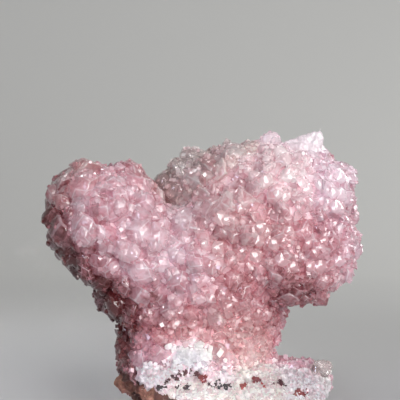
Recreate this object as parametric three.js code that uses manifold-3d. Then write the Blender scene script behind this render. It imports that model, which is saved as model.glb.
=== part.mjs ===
// A cobaltoan calcite specimen: a crust of pink rhombohedral crystals that swells into two crowns
// on a short neck, over a layer of white calcite and a seat of iron-stained host rock.
//
// Units are millimetres and +Z is up. The specimen stands on the flat, broken underside of its rock.
// The origin is on that face, below the middle of the whole specimen's bounding box. +X runs from the
// left crown to the right crown, and -Y is the show side.

import * as THREE from "three";
import { mergeVertices } from "three/addons/utils/BufferGeometryUtils.js";
import Module from "manifold-3d";

const manifold = await Module();
manifold.setup();

// ---------------------------------------------------------------------------------------------
// Driving dimensions
// ---------------------------------------------------------------------------------------------

const CRYSTAL_SPACING = 6.8; // distance between neighbouring crystals on a lobe
const CLEAR_SPACING = 0.85 * CRYSTAL_SPACING; // and the least distance where two lobes meet
const CRYSTAL_EDGE = [4.2, 5.4]; // shortest and longest rhombohedron edge
const CRYSTAL_RISE = 0.1; // how far a crystal's centre stands above its lobe, in edges
const CRYSTAL_LEAN = 0.55; // the most that its axis leans off the lobe's normal, along X, Y or Z
const RHOMB_SQUASH = 0.78; // a cube squashed this much along its body diagonal is the calcite form
const CONTACT_GAP = 0.3; // clearance between the three minerals' solids
const CRYSTAL_SEED = 27; // which of the possible growths this one is
const BURIED = 0.9; // a crystal centre this deep inside another lobe, in radii, is left out
const LOWEST_CRYSTAL = 6; // no crystal's centre is lower, so that only the rock meets the table
const SEAT_CLEARANCE = 0.6; // the white layer and the crust stop this far above the table
const CUTTER_SIZE = 200; // side of the block that trims everything at the resting plane
const MERGE_DISTANCE = 1e-3; // vertices closer than this are one

// How uneven each lumpy ellipsoid is: detail counts the icosahedron's subdivisions, height is the
// swell as a share of the radius, and phase shifts the waves, so that no two lumps are alike.
const LOBE_SURFACE = { detail: 1, height: 0.045 };
const LOBE_PHASE_STEP = 1.7;
const WHITE_SURFACE = { detail: 3, height: 0.075, phase: 2.4 };
const ROCK_SURFACE = { detail: 3, height: 0.075, phase: 0.7 };

// The waves of that swell: wave numbers along X, Y and Z, how fast the phase moves it, its strength.
const WAVES = [
  { along: [2.3, 1.9, 0], drift: 1, strength: 1 },
  { along: [0, 4.1, -3.3], drift: 2.1, strength: 0.8 },
  { along: [5.2, 0, 6.7], drift: -1.3, strength: 0.6 },
];

// The lobes of pink crust, each an ellipsoid that carries crystals. Their tips stand about 3 mm proud,
// or less on a lobe whose crystals are finer, by the share that its fineness gives.
const LOBES = [
  { name: "left crown", centre: [-19.6, -2.5, 41.2], radii: [11.6, 12.0, 10.6] },
  { name: "left cheek", centre: [-15.4, -5.5, 35.6], radii: [10.2, 9.0, 9.8] },
  { name: "left arm", centre: [-11.0, -1.0, 29.4], radii: [11.0, 11.5, 10.6] },
  { name: "right crown", centre: [17.0, 1.5, 44.8], radii: [14.2, 13.4, 11.0] },
  { name: "crest", centre: [10.2, 1.5, 47.6], radii: [10.4, 9.4, 8.6] },
  { name: "shoulder", centre: [0.8, 5.0, 46.6], radii: [7.2, 7.6, 7.2] },
  { name: "right cheek", centre: [19.0, -1.5, 34.4], radii: [12.4, 11.8, 10.2] },
  { name: "brow", centre: [8.4, -4.5, 38.0], radii: [11.5, 9.0, 10.0] },
  { name: "heart", centre: [1.0, -1.5, 29.0], radii: [14.5, 12.6, 11.5] },
  { name: "nape", centre: [3.0, 7.5, 31.5], radii: [15.5, 8.5, 13.5] },
  { name: "neck", centre: [-1.0, 0.0, 18.4], radii: [16.0, 12.6, 10.0] },
  { name: "left foot", centre: [-5.8, -0.8, 10.4], radii: [11.6, 12.4, 7.2] },
  { name: "right foot", centre: [15.8, 0.0, 7.4], radii: [11.6, 11.6, 3.8], fineness: 0.55 },
];

// The white calcite that the pink crust grew on. It shows as a band along the foot of the show side.
const WHITE_LAYER = { centre: [7.6, -3.4, 5.8], radii: [19.4, 11.8, 5.6] };

// The seat of host rock. Its underside is broken off flat, which is what the specimen stands on.
const HOST_ROCK = { centre: [4.2, 1.0, 3.6], radii: [18.6, 13.0, 7.0] };

// One white blade stands alone on the right crown. Its outline is a ramp that ends in a steep point.
const BLADE_OUTLINE = [[18.6, 53.0], [20.4, 57.0], [25.0, 60.4], [25.5, 54.6], [24.8, 51.8]]; // X and Z
const BLADE_THICKNESS = 2.2;
const BLADE_DEPTH = -0.4; // Y of its show face

const FINISHES = {
  pinkCalcite: { color: 0xcf9ba4, roughness: 0.25, metalness: 0 },
  whiteCalcite: { color: 0xf1e9e8, roughness: 0.5, metalness: 0 },
  hostRock: { color: 0x7a4a40, roughness: 0.85, metalness: 0 },
};

// ---------------------------------------------------------------------------------------------
// Helpers
// ---------------------------------------------------------------------------------------------

/** A small seeded random generator, so that every build grows the same crystals. */
function seededRandom(seed) {
  let state = seed;
  return () => {
    state = (state + 0x6d2b79f5) | 0;
    let mixed = Math.imul(state ^ (state >>> 15), 1 | state);
    mixed = (mixed + Math.imul(mixed ^ (mixed >>> 7), 61 | mixed)) ^ mixed;
    return ((mixed ^ (mixed >>> 14)) >>> 0) / 2 ** 32;
  };
}

/** Turns a closed three.js geometry into a manifold-3d solid. */
function toSolid(geometry) {
  const bare = new THREE.BufferGeometry();
  bare.setAttribute("position", geometry.getAttribute("position"));
  bare.setIndex(geometry.index);
  const merged = mergeVertices(bare, MERGE_DISTANCE);
  return new manifold.Manifold(
    new manifold.Mesh({
      numProp: 3,
      vertProperties: merged.attributes.position.array,
      triVerts: new Uint32Array(merged.index.array),
    }),
  );
}

/** Turns a manifold-3d solid back into a three.js geometry. */
function toGeometry(solid) {
  const mesh = solid.getMesh();
  const geometry = new THREE.BufferGeometry();
  geometry.setAttribute("position", new THREE.BufferAttribute(mesh.vertProperties, 3));
  geometry.setIndex(new THREE.BufferAttribute(mesh.triVerts, 1));
  geometry.computeVertexNormals();
  return geometry;
}

/** How far a lump's surface swells in one direction, where 1 is the plain ellipsoid. */
function swell(direction, { height, phase }) {
  const ripple = ({ along, drift, strength }) =>
    strength * Math.sin(direction.dot(new THREE.Vector3(...along)) + drift * phase);
  return 1 + height * WAVES.reduce((sum, wave) => sum + ripple(wave), 0);
}

/** A lumpy ellipsoid. grow enlarges every radius, for cutting a neighbour back to a clear gap. */
function lumpSolid({ centre, radii }, surface, grow = 0) {
  const geometry = new THREE.IcosahedronGeometry(1, surface.detail);
  const position = geometry.getAttribute("position");
  const point = new THREE.Vector3();
  const scale = new THREE.Vector3(...radii).addScalar(grow);
  const middle = new THREE.Vector3(...centre);
  for (let i = 0; i < position.count; i++) {
    point.fromBufferAttribute(position, i).normalize();
    point.multiplyScalar(swell(point, surface)).multiply(scale).add(middle);
    position.setXYZ(i, point.x, point.y, point.z);
  }
  return toSolid(geometry);
}

/** Directions spread evenly over a sphere, along a golden spiral. */
function spiralDirections(count) {
  const goldenAngle = Math.PI * (3 - Math.sqrt(5));
  return Array.from({ length: count }, (_, i) => {
    const height = 1 - (2 * i + 1) / count;
    const ring = Math.sqrt(1 - height * height);
    return new THREE.Vector3(
      ring * Math.cos(i * goldenAngle),
      ring * Math.sin(i * goldenAngle),
      height,
    );
  });
}

/** The mean area of an ellipsoid's surface, by Thomsen's formula. */
function ellipsoidArea([a, b, c]) {
  const power = 1.6;
  const mean = ((a * b) ** power + (a * c) ** power + (b * c) ** power) / 3;
  return 4 * Math.PI * mean ** (1 / power);
}

/** True if a point is inside an ellipsoid shrunk to a share of its radii. */
function isInside(point, { centre, radii }, share) {
  const offset = point.clone().sub(new THREE.Vector3(...centre));
  return offset.divide(new THREE.Vector3(...radii)).length() < share;
}

// ---------------------------------------------------------------------------------------------
// Crystals
// ---------------------------------------------------------------------------------------------

/** A calcite rhombohedron of unit edge, with its long diagonal along +Z. */
function rhombohedronGeometry() {
  const geometry = new THREE.BoxGeometry(1, 1, 1);
  const toVertical = new THREE.Quaternion().setFromUnitVectors(
    new THREE.Vector3(1, 1, 1).normalize(),
    new THREE.Vector3(0, 0, 1),
  );
  return geometry.applyQuaternion(toVertical).scale(1, 1, RHOMB_SQUASH);
}

/** Places one rhombohedron: its axis leans off the normal, and it is spun at random. */
function crystalSolid({ place, normal, fineness }, random) {
  const lean = new THREE.Vector3(random() - 0.5, random() - 0.5, random() - 0.5);
  const axis = normal.clone().addScaledVector(lean, 2 * CRYSTAL_LEAN).normalize();
  const stand = new THREE.Quaternion().setFromUnitVectors(new THREE.Vector3(0, 0, 1), axis);
  const spin = new THREE.Quaternion().setFromAxisAngle(axis, random() * 2 * Math.PI);
  const edge = fineness * THREE.MathUtils.lerp(...CRYSTAL_EDGE, random());
  const centre = place.clone().addScaledVector(normal, CRYSTAL_RISE * edge);
  const matrix = new THREE.Matrix4().compose(
    centre,
    spin.multiply(stand),
    new THREE.Vector3(edge, edge, edge),
  );
  return toSolid(rhombohedronGeometry().applyMatrix4(matrix));
}

/** Where crystals stand on one lobe: each place with its normal, apart from buried ones. */
function placesOn(lobe) {
  const middle = new THREE.Vector3(...lobe.centre);
  const radii = new THREE.Vector3(...lobe.radii);
  const fineness = lobe.fineness ?? 1;
  const count = Math.round(ellipsoidArea(lobe.radii) / (fineness * CRYSTAL_SPACING) ** 2);
  const others = LOBES.filter((other) => other !== lobe);
  return spiralDirections(count)
    .map((direction) => ({
      place: direction.clone().multiply(radii).add(middle),
      normal: direction.clone().divide(radii).normalize(),
      fineness,
    }))
    .filter(({ place }) => place.z > LOWEST_CRYSTAL)
    .filter(({ place }) => !others.some((other) => isInside(place, other, BURIED)));
}

/** One crystal at each place, skipping a place that another lobe's crystal has already taken. */
function crystalSolids(random) {
  const taken = [];
  const crystals = [];
  for (const site of LOBES.flatMap(placesOn)) {
    const clear = site.fineness * CLEAR_SPACING;
    if (taken.some((other) => other.distanceTo(site.place) < clear)) continue;
    taken.push(site.place);
    crystals.push(crystalSolid(site, random));
  }
  return crystals;
}

/** The lone blade on the right crown. */
function bladeSolid() {
  const outline = new THREE.Shape(BLADE_OUTLINE.map(([x, z]) => new THREE.Vector2(x, z)));
  const geometry = new THREE.ExtrudeGeometry(outline, { depth: BLADE_THICKNESS, bevelEnabled: false });
  geometry.rotateX(Math.PI / 2); // the outline's second axis becomes +Z, and its depth runs along -Y
  return toSolid(geometry.translate(0, BLADE_DEPTH + BLADE_THICKNESS, 0));
}

// ---------------------------------------------------------------------------------------------
// The three minerals
// ---------------------------------------------------------------------------------------------

/** Everything below the resting plane, raised by a clearance. */
function tableSolid(clearance) {
  const geometry = new THREE.BoxGeometry(CUTTER_SIZE, CUTTER_SIZE, CUTTER_SIZE);
  return toSolid(geometry.translate(0, 0, clearance - CUTTER_SIZE / 2));
}

/** The host rock, broken off flat below. */
function rockSolid(grow = 0) {
  return lumpSolid(HOST_ROCK, ROCK_SURFACE, grow).subtract(tableSolid(0));
}

/** The white calcite layer as it grew, before the rock is cut out of it. */
function whiteSolid(grow = 0) {
  return lumpSolid(WHITE_LAYER, WHITE_SURFACE, grow).subtract(tableSolid(SEAT_CLEARANCE));
}

/** The pink crust: every lobe and every crystal joined in one solid. */
function pinkSolid() {
  const random = seededRandom(CRYSTAL_SEED);
  const lobes = LOBES.map((lobe, i) =>
    lumpSolid(lobe, { ...LOBE_SURFACE, phase: LOBE_PHASE_STEP * i }),
  );
  return manifold.Manifold.union([...lobes, ...crystalSolids(random), bladeSolid()]);
}

/** A named mesh of one mineral. */
function mineralMesh(name, solid, finish) {
  const mesh = new THREE.Mesh(toGeometry(solid), new THREE.MeshStandardMaterial(finish));
  mesh.name = name;
  return mesh;
}

/** The largest of the bodies that a cut leaves: loose chips are dropped. */
function largestBody(solid) {
  const bodies = solid.decompose();
  return bodies.reduce((best, body) => (body.volume() > best.volume() ? body : best));
}

const rock = rockSolid();
const white = largestBody(whiteSolid().subtract(rockSolid(CONTACT_GAP)));
const pink = largestBody(
  pinkSolid()
    .subtract(rockSolid(CONTACT_GAP))
    .subtract(whiteSolid(CONTACT_GAP))
    .subtract(tableSolid(SEAT_CLEARANCE)),
);

const specimen = new THREE.Group();
specimen.add(
  mineralMesh("host_rock", rock, FINISHES.hostRock),
  mineralMesh("white_calcite_layer", white, FINISHES.whiteCalcite),
  mineralMesh("pink_calcite_cluster", pink, FINISHES.pinkCalcite),
);

// The origin goes below the middle of the bounding box.
const middle = new THREE.Box3().setFromObject(specimen).getCenter(new THREE.Vector3());
specimen.position.set(-middle.x, -middle.y, 0);

export default specimen;
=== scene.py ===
# %% [markdown]
# # A cobaltoan calcite specimen
#
# The specimen is a mass of pink calcite crystals that swells into two crowns on a short neck. It grew
# on a layer of white, granular calcite, and that layer sits on a seat of iron-stained host rock.
# The solids that carry it are loaded as a fixed frame. This lesson gives each mineral its surface:
# first the crystals, then the white layer and the rock, then the finishes, and the studio around them.

# %% Load the frame
import math
from contextlib import contextmanager
from itertools import compress

import bpy
import numpy as np
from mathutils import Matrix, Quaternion, Vector
from mathutils.bvhtree import BVHTree


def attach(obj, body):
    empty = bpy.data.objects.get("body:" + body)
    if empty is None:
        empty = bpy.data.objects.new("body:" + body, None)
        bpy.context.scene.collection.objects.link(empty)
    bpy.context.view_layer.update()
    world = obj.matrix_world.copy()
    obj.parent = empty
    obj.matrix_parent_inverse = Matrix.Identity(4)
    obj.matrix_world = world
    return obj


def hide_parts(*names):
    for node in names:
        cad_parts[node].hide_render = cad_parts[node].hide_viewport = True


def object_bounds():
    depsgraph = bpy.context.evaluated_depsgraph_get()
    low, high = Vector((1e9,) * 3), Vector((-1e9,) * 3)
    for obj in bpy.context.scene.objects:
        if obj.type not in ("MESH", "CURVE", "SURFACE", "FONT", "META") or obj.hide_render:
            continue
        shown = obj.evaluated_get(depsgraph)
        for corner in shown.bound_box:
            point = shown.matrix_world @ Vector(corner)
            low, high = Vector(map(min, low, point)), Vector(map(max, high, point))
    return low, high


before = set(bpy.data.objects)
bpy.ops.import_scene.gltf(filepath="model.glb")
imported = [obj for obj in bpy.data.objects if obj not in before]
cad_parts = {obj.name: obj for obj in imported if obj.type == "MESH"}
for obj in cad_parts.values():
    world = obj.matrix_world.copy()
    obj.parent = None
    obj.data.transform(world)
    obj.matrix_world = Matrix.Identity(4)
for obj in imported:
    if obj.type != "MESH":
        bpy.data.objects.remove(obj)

CAD_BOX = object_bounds()
MM = 0.001
low, high = CAD_BOX
print("the specimen is", [round(side / MM, 1) for side in high - low], "mm")

# %% [markdown]
# ## The studio
#
# A specimen like this is shown close, level and through a long lens, so that both crowns keep their
# true size. The camera looks along +Y at a point a little above the middle, and the frame cuts off
# the foot. The floor rises into the backdrop in one sweep, so no horizon shows behind the crystals.
# It is made from one plane: its back edge is extruded upwards, and the corner between the two is
# bevelled round.

# %% Named places in the studio
VIEW_WIDTH = 84 * MM  # what the frame takes in at the specimen
VIEW_POINT = Vector((0.1, 0.0, 45.4)) * MM
VIEW_ELEVATION = math.radians(4.0)
LENS = 110
SENSOR = 36
SWEEP_HALF = 0.6  # from the specimen to the floor's edges, in metres
SWEEP_HEIGHT = 1.4
SWEEP_CORNER = 0.40
SWEEP_WIDER = 4
SWEEP_FRONT = 1.5  # how much further the floor reaches in front
SWEEP_EDGE = 0.9 * SWEEP_HALF  # what lies past this is on the floor's edge
CORNER_STEPS = 32
FLOOR_TONE = (0.49, 0.49, 0.50, 1)
BACKDROP_TONE = (0.79, 0.79, 0.76, 1)
TONE_CHANGE = 0.22  # how far behind the specimen the backdrop's tone is reached

# %% Helpers that stand in for clicking in edit mode
@contextmanager
def editing():
    """Edit mode on the active object, which starts with all of it selected."""
    bpy.ops.object.mode_set(mode="EDIT")
    bpy.ops.mesh.select_all(action="SELECT")
    yield
    bpy.ops.object.mode_set(mode="OBJECT")


def select_points(piece, test):
    """In edit mode, selects the points that pass the test, and what lies between them."""
    bpy.ops.mesh.select_mode(type="VERT")
    bpy.ops.mesh.select_all(action="DESELECT")
    bpy.ops.object.mode_set(mode="OBJECT")
    for point in piece.data.vertices:
        point.select = test(point.co)
    bpy.ops.object.mode_set(mode="EDIT")


# %% The sweep of floor and backdrop
bpy.ops.object.select_all(action="DESELECT")
bpy.ops.mesh.primitive_plane_add(size=2 * SWEEP_HALF)
sweep = bpy.context.object
sweep.name = "studio_sweep"
with editing():
    select_points(sweep, lambda point: point.y > SWEEP_EDGE)
    bpy.ops.mesh.extrude_region_move(TRANSFORM_OT_translate={"value": (0, 0, SWEEP_HEIGHT)})
    select_points(sweep, lambda point: point.y > SWEEP_EDGE and point.z < MM)
    bpy.ops.mesh.bevel(offset=SWEEP_CORNER, segments=CORNER_STEPS, affect="EDGES")
    bpy.ops.mesh.select_all(action="SELECT")
    bpy.ops.transform.resize(value=(SWEEP_WIDER, 1, 1), center_override=(0, 0, 0))
    select_points(sweep, lambda point: point.y < -SWEEP_EDGE)
    bpy.ops.transform.translate(value=(0, -SWEEP_FRONT, 0))
bpy.ops.object.shade_smooth()
print("the sweep has", len(sweep.data.polygons), "faces")

# %% Its paper, which turns paler behind the specimen
def new_material(name):
    """A new material, its node tree and its shader."""
    material = bpy.data.materials.new(name)
    material.use_nodes = True
    return material, material.node_tree, material.node_tree.nodes["Principled BSDF"]


def fill(node, inputs):
    """Fills a node's inputs: a socket is linked, and anything else is set."""
    for title, value in inputs.items():
        if isinstance(value, bpy.types.NodeSocket):
            node.id_data.links.new(value, node.inputs[title])
        else:
            node.inputs[title].default_value = value


def add_node(tree, kind, inputs):
    """A new node with its inputs filled."""
    node = tree.nodes.new(kind)
    fill(node, inputs)
    return node


paper, tree, shader = new_material("studio_paper")
place = tree.nodes.new("ShaderNodeTexCoord")
split = add_node(tree, "ShaderNodeSeparateXYZ", {"Vector": place.outputs["Object"]})
fade = add_node(tree, "ShaderNodeMapRange", {"Value": split.outputs["Y"], "From Max": TONE_CHANGE})
tones = tree.nodes.new("ShaderNodeMix")
tones.data_type = "RGBA"
fill(tones, {"Factor": fade.outputs["Result"], "A": FLOOR_TONE, "B": BACKDROP_TONE})
fill(shader, {"Base Color": tones.outputs["Result"], "Roughness": 0.9})
sweep.data.materials.append(paper)
print("the paper turns paler over", round(TONE_CHANGE / MM), "mm")

# %% The camera
distance = LENS / SENSOR * VIEW_WIDTH
back = Vector((0, -math.cos(VIEW_ELEVATION), math.sin(VIEW_ELEVATION)))
bpy.ops.object.camera_add(location=VIEW_POINT + back * distance)
camera = bpy.context.object
camera.rotation_euler = (-back).to_track_quat("-Z", "Y").to_euler()
camera.data.lens = LENS
camera.data.sensor_width = SENSOR
camera.data.clip_start = 0.01
bpy.context.scene.camera = camera
print("the camera is", round(distance / MM), "mm away")

# %% [markdown]
# ## The light
#
# Crystals are read by their glints. One broad lamp gives soft shading from the upper right, and some
# small bright ones give each flat face a chance to flash white. One of those is bluish, as a window is,
# and gives the few lilac flashes. A rim lamp and a low fill round the right side off, and two narrow
# pools of light fall on the foot and on the floor behind. The air itself is only dimly lit, so that
# the shaded side stays deep.

# %% The lamps
AIR_LIGHT = 0.22


def lamp(name, place, size, power, colour=(1, 1, 1), aim=VIEW_POINT, spread=180):
    """A square lamp, its place in metres from the view point and its spread in degrees."""
    bpy.ops.object.light_add(type="AREA", location=VIEW_POINT + Vector(place))
    light = bpy.context.object
    light.name = name
    light.rotation_euler = (aim - light.location).to_track_quat("-Z", "Y").to_euler()
    light.data.size = size
    light.data.spread = math.radians(spread)
    light.data.energy = power
    light.data.color = colour


lamp("key", (0.30, -0.46, 0.24), 0.34, 1.60, (1.0, 0.985, 0.96))
lamp("glint_right", (0.42, -0.42, 0.08), 0.14, 0.40)
lamp("glint_high", (0.02, -0.38, 0.48), 0.14, 0.40)
lamp("glint_window", (-0.24, -0.52, 0.22), 0.12, 0.42, (0.74, 0.78, 1.0))
lamp("rim", (0.42, 0.22, 0.22), 0.16, 0.5)
lamp("low_fill", (0.20, -0.55, 0.06), 0.20, 0.80)
lamp("foot_pool", (0.08, -0.50, -0.030), 0.02, 0.0088, aim=Vector((0.5, -12, -4)) * MM, spread=5.2)
lamp("floor_pool", (-0.20, 0.22, 0.42), 0.12, 0.022, aim=Vector((-70, 40, 0)) * MM, spread=22)

world = bpy.data.worlds.new("studio_air")
world.use_nodes = True
air = world.node_tree.nodes["Background"]
fill(air, {"Color": (0.97, 0.97, 1.0, 1), "Strength": AIR_LIGHT})
bpy.context.scene.world = world
bpy.context.scene.view_settings.view_transform = "Standard"

# %% [markdown]
# ## The mass that the crystals grow out of
#
# Below its clear crystals the pink calcite turns milky, and that mass shows through them. It swelled
# up in round lobes that ran into each other, so it is made in the same way: a ball for each lobe, all
# joined by a voxel remesh, and then smoothed until no crease is left between them. Metaballs would do
# as well, but they are harder to place exactly.

# %% The lobes, with their middles and radii in millimetres
LOBES = {
    "left_crown": ((-18.9, -2.5, 40.9), (10.1, 11.4, 9.3)),
    "left_brow": ((-23.6, -2.0, 46.2), (4.8, 7.0, 4.3)),
    "left_cheek": ((-14.2, -5.5, 35.8), (8.2, 8.6, 9.0)),
    "left_arm": ((-10.0, -1.0, 29.6), (9.3, 11.0, 10.0)),
    "right_crown": ((17.1, 1.3, 44.8), (13.4, 13.2, 10.3)),
    "right_brow": ((24.3, 0.0, 48.4), (5.4, 8.0, 4.7)),
    "crest": ((10.0, 1.5, 46.8), (10.0, 9.4, 8.1)),
    "shoulder": ((1.4, 5.0, 46.2), (6.8, 7.4, 6.8)),
    "first_bump": ((-2.7, 4.0, 50.3), (2.2, 3.0, 2.6)),
    "right_cheek": ((19.0, -1.5, 35.2), (11.9, 11.6, 9.2)),
    "brow": ((8.4, -4.5, 38.0), (11.5, 9.0, 10.0)),
    "heart": ((1.4, -1.5, 29.0), (14.0, 12.6, 11.5)),
    "nape": ((3.4, 7.2, 31.5), (15.0, 8.0, 13.5)),
    "neck": ((0.2, 0.0, 18.4), (15.5, 12.4, 10.0)),
    "left_foot": ((-4.8, -0.8, 11.4), (10.1, 12.2, 7.4)),
    "right_foot": ((15.4, -0.5, 7.2), (11.2, 10.8, 2.6)),
}
SWELL = 1.5  # millimetres that each radius is made larger by, because the smoothing shrinks it
MASS_VOXEL = 0.8 * MM
MASS_SMOOTHING = 90  # rounds
LUMP_SIZE = 4.6 * MM  # crystals stand in clumps of about this size
LUMP_RELIEF = 2.6 * MM

# %% Helpers that join a piece, give it one skin and roughen it
def only(piece):
    """Selects one object and nothing else."""
    bpy.ops.object.select_all(action="DESELECT")
    piece.select_set(True)
    bpy.context.view_layer.objects.active = piece


def joined(pieces, name):
    """One object, under a new name, from several."""
    only(pieces[-1])
    for piece in pieces:
        piece.select_set(True)
    bpy.ops.object.join()
    bpy.context.object.name = name
    return bpy.context.object


def apply_modifier(piece, kind, **settings):
    """Adds one modifier, sets it and applies it."""
    only(piece)
    modifier = piece.modifiers.new(kind.title(), kind)
    for name, value in settings.items():
        setattr(modifier, name, value)
    bpy.ops.object.modifier_apply(modifier=modifier.name)


def skin(piece, voxel, rounds):
    """Remeshes a piece into one even skin, and smooths it."""
    apply_modifier(piece, "REMESH", mode="VOXEL", voxel_size=voxel)
    apply_modifier(piece, "SMOOTH", factor=0.5, iterations=rounds)


def roughen(piece, grain, relief, level=0.5, depth=2, **settings):
    """Pushes a skin in and out by a cloud pattern, which leaves it in place at one level."""
    clouds = bpy.data.textures.new(piece.name + "_clouds", "CLOUDS")
    clouds.noise_scale = grain
    clouds.noise_depth = depth
    apply_modifier(piece, "DISPLACE", texture=clouds, strength=relief, mid_level=level, **settings)


def shade(piece, degrees=180):
    """Shades a piece smoothly, except across edges that are sharper than this."""
    only(piece)
    bpy.ops.object.shade_smooth_by_angle(angle=math.radians(degrees))


def triangle_count(piece):
    """How many triangles a piece comes to."""
    return sum(len(face.vertices) - 2 for face in piece.data.polygons)


# %% The pink mass
def array_of(items, name, width=1, kind=float):
    """One property of a mesh's points or faces, as an array with a row for each."""
    values = np.empty(len(items) * width, dtype=kind)
    items.foreach_get(name, values)
    return values.reshape(-1, width) if width > 1 else values


def surface_arrays(piece):
    """A mesh's points and their normals."""
    points = piece.data.vertices
    return array_of(points, "co", 3), array_of(points, "normal", 3)


bpy.ops.object.select_all(action="DESELECT")
lobes = []
for name, (middle, radii) in LOBES.items():
    bpy.ops.mesh.primitive_ico_sphere_add(subdivisions=5, radius=1)
    bpy.context.object.name = name
    reach = (Vector(radii) + Vector([SWELL] * 3)) * MM
    with editing():
        bpy.ops.transform.resize(value=reach, center_override=(0, 0, 0))
        bpy.ops.transform.translate(value=Vector(middle) * MM)
    lobes.append(bpy.context.object)
mass = joined(lobes, "pink_mass")
skin(mass, MASS_VOXEL, MASS_SMOOTHING)
smooth_points, smooth_normals = surface_arrays(mass)
roughen(mass, LUMP_SIZE, LUMP_RELIEF)
lumpy_points, _ = surface_arrays(mass)
lift = np.sum((lumpy_points - smooth_points) * smooth_normals, axis=1)
shade(mass)
print("the mass has", triangle_count(mass), "triangles")
print("its clumps rise and fall by up to", round(abs(lift).max() / MM, 2), "mm")

# %% [markdown]
# ## One calcite crystal
#
# Calcite grows as a rhombohedron: a cube stood on its corner and squashed along the upright diagonal.
# Here the faces have swollen into curves, with a flat tip on some. A few forms are modelled once by
# hand and then copied in every size. The small ones keep to a few dozen faces, because there are
# thousands of their copies. The large ones, of which there are a few hundred, may have some more.

# %% The facets of a form
EDGE_AREA = 0.35  # faces smaller than this share of the largest one are the form's rounded edges


def mark_edges(form):
    """Gives the rounded edges of a form the facet number -1."""
    largest = max(face.area for face in form.data.polygons)
    for face in form.data.polygons:
        if face.area < EDGE_AREA * largest:
            form.data.attributes["facet"].data[face.index].value = -1


# %% Modelling a form
CORNER_TURN = math.atan(1 / math.sqrt(2))
SHARP = math.radians(35)  # an edge sharper than this is rounded off
ROUNDNESS = 0.6


def crystal_form(name, squash, round_off, dome=0, flat_tip=0):
    """One crystal of unit edge, with its long diagonal upright."""
    bpy.ops.object.select_all(action="DESELECT")
    bpy.ops.mesh.primitive_cube_add(size=1)
    form = bpy.context.object
    form.name = name
    facet = form.data.attributes.new("facet", "INT", "FACE")
    facet.data.foreach_set("value", range(len(form.data.polygons)))
    middle = {"center_override": (0, 0, 0)}
    with editing():
        bpy.ops.mesh.select_mode(type="EDGE")
        if dome:
            bpy.ops.mesh.subdivide(number_cuts=1)
            bpy.ops.transform.tosphere(value=dome, **middle)
        bpy.ops.transform.rotate(value=math.pi / 4, orient_axis="X", **middle)
        bpy.ops.transform.rotate(value=CORNER_TURN, orient_axis="Y", **middle)
        bpy.ops.transform.resize(value=(1, 1, squash), **middle)
        if flat_tip:
            tip = {"plane_co": (0, 0, flat_tip), "plane_no": (0, 0, 1)}
            bpy.ops.mesh.bisect(use_fill=True, clear_outer=True, **tip)
        if round_off:
            bpy.ops.mesh.select_all(action="DESELECT")
            bpy.ops.mesh.edges_select_sharp(sharpness=SHARP)
            bpy.ops.mesh.bevel(offset=round_off, segments=1, profile=ROUNDNESS, affect="EDGES")
    mark_edges(form)
    with editing():
        bpy.ops.mesh.quads_convert_to_tris()
    print(name, triangle_count(form), "triangles")
    return form


# %% The forms, from the roundest to the flattest
FORMS = [  # how each is squashed, rounded off and domed, and the height of its flat tip
    {
        "lens": (0.64, 0.03, 0.90),
        "plate": (0.55, 0.04, 0.76),
        "blunt": (0.64, 0.07, 0.45),
        "flat_tipped": (0.62, 0.07, 0.10, 0.26),
        "flat_faced": (0.58, 0.07),
    },
    {
        "small_plate": (0.46, 0, 0.38),
        "small_blunt": (0.60, 0, 0.20),
        "small_flat": (0.58, 0.09),
    },
    {"grain": (0.75, 0), "flat_grain": (0.80, 0, 0, 0.30)},
]
large_forms, small_forms, sugar_forms = [
    [crystal_form(name, *shape) for name, shape in shapes.items()] for shapes in FORMS
]

# %% [markdown]
# ## Where the crystals stand, and how large they are
#
# The left crown has the largest crystals, and the foot and the shoulder the smallest. They came in
# generations: a few early ones grew large, more came between those, and the last ones filled the gaps.
# Each try takes a random place on the mass, and keeps it only if no kept crystal is too near.

# %% Values by zone
FALLOFF = 1.5  # how fast a zone's weight falls with the distance
FAR_WEIGHT = 1e-9  # what is left of it far away


def blend(points, zones):
    """A value at each point, blended from zones.

    A zone is a centre and a reach in millimetres, a value and, if it is to win, a weight over 1."""
    total = np.zeros(len(points))
    weights = np.zeros(len(points))
    for centre, reach, value, *force in zones:
        away = np.linalg.norm(points / MM - centre, axis=1) / reach
        weight = (force[0] if force else 1) * np.exp(-FALLOFF * away**2) + FAR_WEIGHT
        total += weight * value
        weights += weight
    return total / weights


EDGES = [  # usual edge length, in millimetres
    ((-20, -3, 41), 14, 3.7),
    ((-13, -5, 31), 11, 2.9),
    ((-12, -9, 12), 5, 2.9, 3),
    ((15, 0, 44), 16, 2.8),
    ((-1, 3, 51), 6, 2.9, 4),
    ((-31, -3, 37), 5, 2.5, 2),
    ((20, -2, 34), 12, 2.4),
    ((2, -2, 28), 13, 2.2),
    ((-2, 0, 16), 13, 1.9),
    ((17, -1, 9), 11, 1.2),
]
GENERATIONS = [(1.4, 500), (0.9, 2400), (0.5, 7000)]  # size, in usual edges, and tries
GAP = 0.72  # least distance between two crystals, in their mean edge
SIZE_SPREAD = (0.85, 1.2)
LOWEST = 4.2 * MM  # nothing grows below this, near the table
random = np.random.default_rng(11)  # one for every draw, so that each run grows the same crystals

# %% Choosing the places
def grow_generations(points, edges):
    """Indices of the points that a crystal is grown on, and the crystals' sizes."""
    kept, sizes = np.empty(0, dtype=int), np.empty(0)
    for share, tries in GENERATIONS:
        for i in random.choice(len(points), tries, replace=False):
            size = share * edges[i] * random.uniform(*SIZE_SPREAD)
            away = np.linalg.norm(points[kept] - points[i], axis=1)
            if np.all(away >= GAP * (size + sizes) / 2):
                kept, sizes = np.append(kept, i), np.append(sizes, size)
    return kept, sizes


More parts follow.
